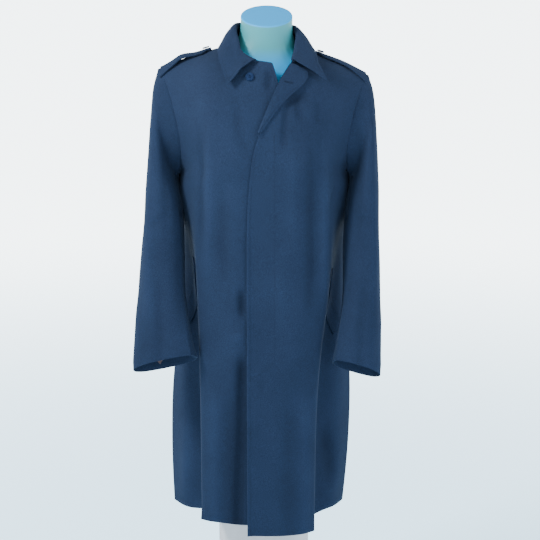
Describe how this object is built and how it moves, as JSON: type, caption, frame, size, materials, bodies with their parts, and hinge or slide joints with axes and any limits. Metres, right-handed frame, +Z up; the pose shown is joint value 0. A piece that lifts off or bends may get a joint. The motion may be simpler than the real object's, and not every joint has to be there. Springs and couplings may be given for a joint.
{
  "type": "overcoat on a limbless dress form and pedestal",
  "caption": "Knee-length navy wool overcoat with fly front, turned-back corner, epaulettes and slanted welt pockets, worn by a limbless dress form on a plain round pedestal.",
  "frame": {"origin": "centre of the pedestal's underside, on the floor", "axes": "+Z up from the floor, -Y towards the front of the coat, +X towards the wearer's left"},
  "size_m": [0.5615, 0.328, 1.5864],
  "materials": {
    "wool": "matt wool twill, slate navy",
    "lining": "satin lining, mauve brown",
    "button": "satin navy",
    "form": "satin aqua paint",
    "pedestal": "matt off-white"
  },
  "bodies": {
    "root": {"back": "wool", "button_epaulette_left": "button", "button_epaulette_right": "button", "button_neck": "button", "collar": "wool", "dress_form": "form", "epaulette_left": "wool", "epaulette_right": "wool", "front_left": "wool", "front_right": "wool", "pedestal": "pedestal", "pocket_welt_left": "wool", "pocket_welt_right": "wool", "sleeve_left_under": "wool", "sleeve_left_upper": "wool", "sleeve_lining_right": "lining", "sleeve_right_under": "wool", "sleeve_right_upper": "wool", "turned_corner": "wool"}
  },
  "joints": []
}
